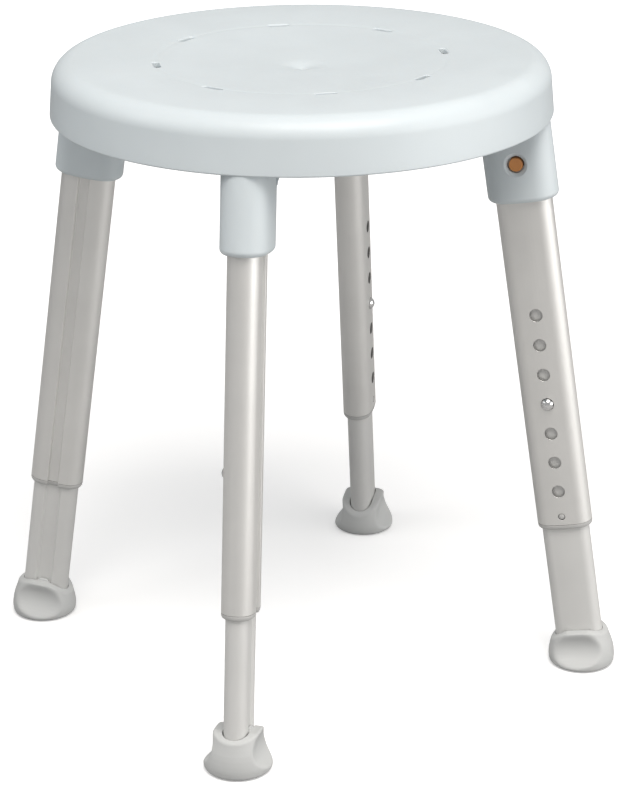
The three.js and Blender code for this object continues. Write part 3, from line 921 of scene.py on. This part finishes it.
def extruded(name, color, roughness, metallic, section, lines=0.2):
    """Satin extrusion with faint die lines along the leg, and painted shade that darkens the walls of its
    holes and what lies behind its flat.
    """
    n = Nodes(name)
    die_lines = n.noise(900, 2, (1, 1, 0.004))
    wide_lines = n.noise(160, 2, (1, 1, 0.01))
    blotches = n.noise(18, 3)
    satin = n.mix(blotches, tone(color, 0.97), tone(color, 1.03))
    # painted shade: the hole walls and the inside behind the -Y flat are darkened in the colour, standing in
    # for their shadow
    n.link(n.darker(satin, n.shade_behind_flat(section), HOLE_SHADE_TONE), n.shader, "Base Color")
    n.link(n.between(wide_lines, roughness - 0.04, roughness + 0.05), n.shader, "Roughness")
    grain = n.bump(n.noise(4200, 2), 0.2, 0.00002)
    n.link(n.bump(die_lines, lines, 0.00003, under=grain), n.shader, "Normal")
    n.shader.inputs["Metallic"].default_value = metallic
    return n.material


def polished(name, color, roughness, scratches=0.15):
    """Bright steel with faint tumbling marks."""
    n = Nodes(name)
    n.link(n.mix(n.noise(300, 3), tone(color, 0.94), tone(color, 1.04)), n.shader, "Base Color")
    n.link(n.between(n.noise(700, 4), roughness, roughness + 0.08), n.shader, "Roughness")
    n.link(n.bump(n.noise(1500, 4, (1, 1, 0.2)), scratches, 0.00002), n.shader, "Normal")
    n.shader.inputs["Metallic"].default_value = 1
    return n.material


FINISH = {
    "seat_plastic": moulded("seat_plastic", (0.61, 0.665, 0.69), 0.42, subsurface=0.05),
    "leg_alloy": extruded("leg_alloy", (0.81, 0.805, 0.785), 0.47, 0.8, TUBE),
    "inner_leg_plastic": extruded("inner_leg_plastic", (0.72, 0.72, 0.705), 0.44, 0.35, INNER, lines=0.12),
    "foot_rubber": moulded("foot_rubber", (0.55, 0.56, 0.555), 0.6, grain=3200, relief=0.00005, spread=0.04),
    "copper_brown_plastic": moulded("copper_brown_plastic", (0.60, 0.25, 0.075), 0.42, spread=0.06),
    "grey_plastic": moulded("grey_plastic", (0.50, 0.50, 0.49), 0.5, spread=0.04),
    "polished_steel": polished("polished_steel", (0.80, 0.80, 0.80), 0.12),
    "spring_steel": polished("spring_steel", (0.55, 0.54, 0.52), 0.28, 0.3),
}

# ---------- assembly ----------

def show(obj, slot, body, *nodes):
    """Gives a finished piece its material and its body, and lets it stand for its CAD nodes."""
    obj.data.materials.clear()
    obj.data.materials.append(FINISH[slot])
    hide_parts(*nodes)
    if body:
        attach(obj, body)
    return obj


show(make_seat(), "seat_plastic", "seat", "seat")

LEG_PIECES = [
    ("leg_tube", make_tube, "leg_alloy", "leg"),
    ("tube_plug", make_tube_plug, "grey_plastic", "leg"),
    ("guide_bush", make_guide_bush, "grey_plastic", "leg"),
    ("inner_leg", make_inner_leg, "inner_leg_plastic", "lower_leg"),
    ("leg_glide", make_glide, "grey_plastic", "lower_leg"),
    ("foot", make_foot, "foot_rubber", "lower_leg"),
    ("height_button", make_height_button, "polished_steel", "height_button"),
    ("release_clip", make_release_clip, "copper_brown_plastic", None),
    ("button_spring", make_button_spring, "spring_steel", None),
]

for piece, make, slot, body in LEG_PIECES:
    model = smooth(make())
    for corner in CORNERS:
        copy = model.copy()
        copy.name = f"{corner}_{piece}_visual"
        bpy.context.scene.collection.objects.link(copy)
        copy.matrix_world = LEG[corner]
        if body:
            show(copy, slot, f"{corner}_{body}", f"{corner}_{piece}")
        else:
            copy.data = model.data.copy()
            show(copy, slot, None, f"{corner}_{piece}")
            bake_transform(copy)
    bpy.data.objects.remove(model)

# ---------- floor, light and camera ----------

FLOOR_SEEN = (0.92, 0.92, 0.92)  # the paper's colour where the camera sees it
FLOOR_BOUNCE = (0.43, 0.43, 0.43)  # and as the stool reflects it
FLOOR_GLOW = 0.3  # how much the paper shines near the stool, where a shadow still shows
WORLD_LIGHT = 0.42  # the room's light on the stool; the camera sees plain white


def make_floor():
    """White studio paper. Seen directly it fades to plain white; as a bounce it is a mid grey."""
    rings = []
    for radius in (0.02, 400, 1200, 3000, 9000):
        rings.append([(x, y, -0.5) for x, y in arc((0, 0), radius, 0, 360, 64)[:-1]])
    faces = faces_between(64, len(rings), False) + [tuple(range(64))]
    floor = make_object("floor", [p for ring in rings for p in ring], faces)
    n = Nodes("floor_paper")
    seen = n.tree.nodes.new("ShaderNodeLightPath").outputs["Is Camera Ray"]
    n.link(n.mix(seen, FLOOR_BOUNCE, FLOOR_SEEN, 0, 1), n.shader, "Base Color")
    distance = n.tree.nodes.new("ShaderNodeVectorMath")
    distance.operation = "LENGTH"
    n.link(n.place, distance, "Vector")
    glow = n.between(distance.outputs["Value"], FLOOR_GLOW, 1.0, 0.5, 2.5)
    n.link(n.math("MULTIPLY", glow, seen), n.shader, "Emission Strength")
    n.shader.inputs["Emission Color"].default_value = (1, 1, 1, 1)
    n.shader.inputs["Roughness"].default_value = 0.9
    n.shader.inputs["Specular IOR Level"].default_value = 0.1
    floor.data.materials.append(n.material)


def softbox(name, place, target, width, height, power, color=(1, 1, 1)):
    light = bpy.data.lights.new(name, "AREA")
    light.shape = "RECTANGLE"
    light.size, light.size_y = width, height
    light.energy = power
    light.color = color
    obj = bpy.data.objects.new(name, light)
    bpy.context.scene.collection.objects.link(obj)
    obj.location = place
    obj.rotation_euler = (Vector(target) - Vector(place)).to_track_quat("-Z", "Y").to_euler()
    return obj


HEADING = math.radians(31.93)  # the camera looks this far clockwise of +Y


def from_camera(right, up, away):
    """A place given in metres to the camera's right, up from the floor, and away from it beyond the stool."""
    ahead = Vector((math.sin(HEADING), math.cos(HEADING), 0))
    side = Vector((ahead.y, -ahead.x, 0))
    return side * right + ahead * away + Vector((0, 0, up))


def make_lights():
    middle = (0, 0, 0.3)
    softbox("key", from_camera(0.3, 2.5, -1.2), middle, 1.7, 1.3, 53, (1, 0.96, 0.92))
    softbox("side_right", from_camera(2.1, 0.5, -0.75), middle, 2.2, 1.5, 24.5, (1, 0.985, 0.97))
    softbox("side_left", from_camera(-2.0, 1.9, -0.6), middle, 1.6, 1.6, 13)
    world = bpy.data.worlds.new("studio")
    world.use_nodes = True
    nodes, links = world.node_tree.nodes, world.node_tree.links
    background = nodes["Background"]
    background.inputs["Color"].default_value = (1, 1, 1, 1)
    strength = nodes.new("ShaderNodeMapRange")
    strength.inputs["To Min"].default_value = WORLD_LIGHT
    strength.inputs["To Max"].default_value = 1.0
    links.new(nodes.new("ShaderNodeLightPath").outputs["Is Camera Ray"], strength.inputs["Value"])
    links.new(strength.outputs["Result"], background.inputs["Strength"])
    bpy.context.scene.world = world


def make_camera():
    data = bpy.data.cameras.new("camera")
    data.lens = 119.4
    data.sensor_width = 36
    data.clip_end = 50
    camera = bpy.data.objects.new("camera", data)
    bpy.context.scene.collection.objects.link(camera)
    pitch, roll = math.radians(20.96), math.radians(-0.5)
    turn = Matrix.Rotation(-HEADING, 4, "Z") @ Matrix.Rotation(math.pi / 2 - pitch, 4, "X")
    place = Matrix.Translation((-1.0444, -1.6904, 0.9795))
    camera.matrix_world = place @ turn @ Matrix.Rotation(roll, 4, "Z")
    bpy.context.scene.camera = camera


make_floor()
make_lights()
make_camera()
bpy.context.scene.view_settings.view_transform = "Standard"
